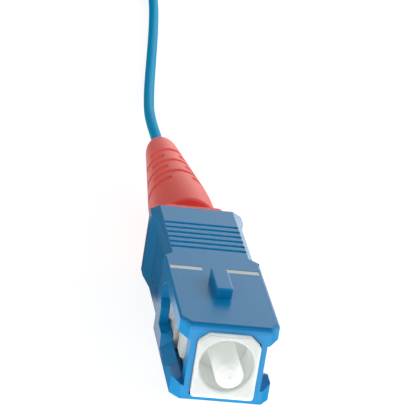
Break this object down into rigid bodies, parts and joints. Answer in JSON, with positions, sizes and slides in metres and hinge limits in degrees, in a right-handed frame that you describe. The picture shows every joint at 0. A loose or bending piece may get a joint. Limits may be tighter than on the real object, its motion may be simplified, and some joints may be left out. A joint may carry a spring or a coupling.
{
  "type": "sc fibre connector",
  "caption": "Push-pull optical fibre plug with a sprung ceramic ferrule, a sliding keyed grip with side windows, a slotted strain relief boot and a thin cord.",
  "frame": {"origin": "centre of the ferrule's tip, the plug's mating face", "axes": "-Y points out of the mating end along the ferrule, +Y runs back to the cord, +Z points to the side with the key"},
  "size_m": [0.018, 0.1365, 0.0084],
  "materials": {
    "grip_plastic": "fine satin moulding",
    "frame_plastic": "satin moulding",
    "ceramic": "polished ceramic",
    "flange_metal": "nickel plated",
    "fibre_glass": "clear",
    "buffer_plastic": "smooth",
    "spring_steel": "drawn wire",
    "yarn": "fibres",
    "boot_rubber": "soft satin moulding",
    "cord_jacket": "smooth extrusion",
    "tie_plastic": "smooth"
  },
  "bodies": {
    "plug": {"plug_frame": "frame_plastic", "stop_ring": "flange_metal", "yarn_layer": "yarn", "crimp_ring": "flange_metal", "boot": "boot_rubber", "spring": "spring_steel", "buffered_fibre": "buffer_plastic", "cord_end": "cord_jacket", "cord_run": "cord_jacket", "cord_coil": "cord_jacket", "coil_tie_1": "tie_plastic", "coil_tie_2": "tie_plastic"},
    "grip": {"grip": "grip_plastic"},
    "ferrule": {"ferrule": "ceramic", "ferrule_flange": "flange_metal", "bare_fibre": "fibre_glass"}
  },
  "joints": [
    {"name": "grip_slide", "type": "slide", "parent": "plug", "child": "grip", "axis": [0, 1, 0], "range_m": [0, 0.0016]},
    {"name": "ferrule_slide", "type": "slide", "parent": "plug", "child": "ferrule", "axis": [0, 1, 0], "range_m": [0, 0.0015], "stiffness_N_per_m": 1000, "deforming": ["spring", "buffered_fibre"]}
  ]
}
